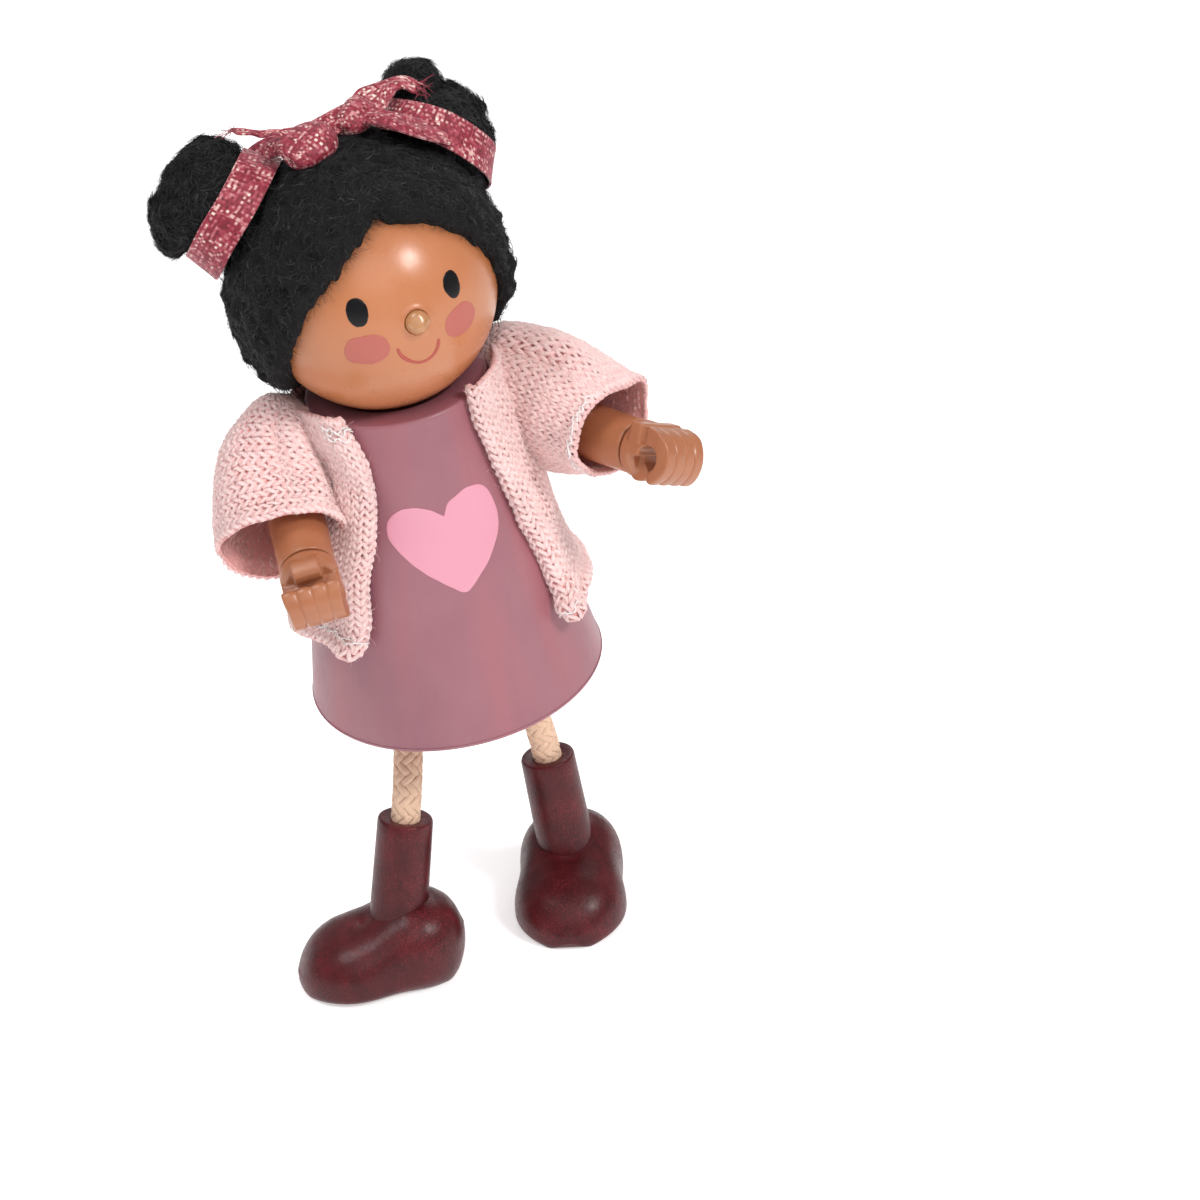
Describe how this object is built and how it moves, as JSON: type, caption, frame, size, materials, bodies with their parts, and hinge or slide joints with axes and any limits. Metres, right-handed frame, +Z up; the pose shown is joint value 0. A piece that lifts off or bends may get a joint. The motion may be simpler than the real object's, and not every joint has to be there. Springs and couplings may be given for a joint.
{
  "type": "miniature doll",
  "caption": "Small wooden doll with a cone body, ball head, two hair buns with a ribbon, knitted jacket, cord limbs, moulded hands and boots.",
  "frame": {"origin": "on the floor under the middle of the doll's bounding box", "axes": "+Z up, the body faces about -Y and the doll's right side is at -X"},
  "size_m": [0.0506, 0.0378, 0.1004],
  "materials": {
    "dress_paint": "satin mauve paint on turned wood",
    "skin_paint": "satin brown paint on turned wood",
    "nose_wood": "varnished wooden peg",
    "hair_fleece": "black fleece yarn",
    "ribbon_weave": "crimson and pink plain weave",
    "hand_plastic": "semi-gloss brown moulding",
    "cord_cotton": "natural braided cotton",
    "wire_steel": "plain steel wire",
    "boot_stain": "dark red gloss stain on turned wood",
    "jacket_knit": "pale pink stocking-stitch knit",
    "bare_wood": "unpainted beech"
  },
  "bodies": {
    "torso": {"torso": "dress_paint", "neck_dowel": "bare_wood", "jacket_body": "jacket_knit", "arm_cord_core": "cord_cotton", "right_leg_root": "cord_cotton", "left_leg_root": "cord_cotton"},
    "head": {"head_ball": "skin_paint", "nose_peg": "nose_wood", "hair_cap": "hair_fleece", "right_bun": "hair_fleece", "left_bun": "hair_fleece", "hair_ribbon": "ribbon_weave"},
    "right_arm": {"right_arm_cord": "cord_cotton", "right_arm_wire": "wire_steel", "right_forearm": "hand_plastic", "right_sleeve": "jacket_knit"},
    "right_hand": {"right_hand": "hand_plastic"},
    "right_leg": {"right_leg_cord": "cord_cotton", "right_leg_wire": "wire_steel"},
    "right_ankle": {"right_ankle_cord": "cord_cotton"},
    "right_boot": {"right_boot_shaft": "boot_stain", "right_boot_foot": "boot_stain"},
    "left_arm": {"left_arm_cord": "cord_cotton", "left_arm_wire": "wire_steel", "left_forearm": "hand_plastic", "left_sleeve": "jacket_knit"},
    "left_hand": {"left_hand": "hand_plastic"},
    "left_leg": {"left_leg_cord": "cord_cotton", "left_leg_wire": "wire_steel"},
    "left_ankle": {"left_ankle_cord": "cord_cotton"},
    "left_boot": {"left_boot_shaft": "boot_stain", "left_boot_foot": "boot_stain"}
  },
  "joints": [
    {"name": "head_turn", "type": "hinge", "parent": "torso", "child": "head", "pos_m": [-0.00385, 0.0007, 0.0802], "axis": [-0.1, -0.04, 0.9942], "range_deg": [-90, 90]},
    {"name": "right_shoulder_swing", "type": "hinge", "parent": "torso", "child": "right_arm", "pos_m": [-0.01644, 0.00153, 0.05954], "axis": [0.8932, 0.1074, -0.4367], "range_deg": [-15, 55]},
    {"name": "left_shoulder_swing", "type": "hinge", "parent": "torso", "child": "left_arm", "pos_m": [0.01261, 0.00141, 0.06246], "axis": [0.7216, 0.3863, 0.5745], "range_deg": [-15, 55]},
    {"name": "right_hand_turn", "type": "hinge", "parent": "right_arm", "child": "right_hand", "pos_m": [-0.01648, -0.01132, 0.05631], "axis": [-0.075, -0.9374, -0.3401], "continuous": true},
    {"name": "left_hand_turn", "type": "hinge", "parent": "left_arm", "child": "left_hand", "pos_m": [0.01941, -0.01132, 0.06247], "axis": [0.4481, -0.8931, 0.039], "continuous": true},
    {"name": "right_hip_swing", "type": "hinge", "parent": "torso", "child": "right_leg", "pos_m": [-0.00536, 0.00271, 0.03032], "axis": [-0.995, 0.004, -0.0999], "range_deg": [-60, 40]},
    {"name": "left_hip_swing", "type": "hinge", "parent": "torso", "child": "left_leg", "pos_m": [0.00757, 0.00265, 0.03162], "axis": [-0.995, 0.004, -0.0999], "range_deg": [-30, 65]},
    {"name": "right_ankle_bend", "type": "hinge", "parent": "right_leg", "child": "right_ankle", "pos_m": [-0.00754, -0.00273, 0.02094], "axis": [0.1005, 0.9949, 0], "range_deg": [-10, 35]},
    {"name": "left_ankle_bend", "type": "hinge", "parent": "left_leg", "child": "left_ankle", "pos_m": [0.01002, 0.00315, 0.02117], "axis": [-0.9477, 0.3192, 0], "range_deg": [-35, 35]},
    {"name": "right_boot_turn", "type": "hinge", "parent": "right_ankle", "child": "right_boot", "pos_m": [-0.00996, -0.00402, 0.0089], "axis": [0.196, 0.104, 0.9751], "range_deg": [-45, 45]},
    {"name": "left_boot_turn", "type": "hinge", "parent": "left_ankle", "child": "left_boot", "pos_m": [0.01115, 0.00236, 0.0089], "axis": [-0.092, 0.064, 0.9937], "range_deg": [-45, 45]}
  ]
}
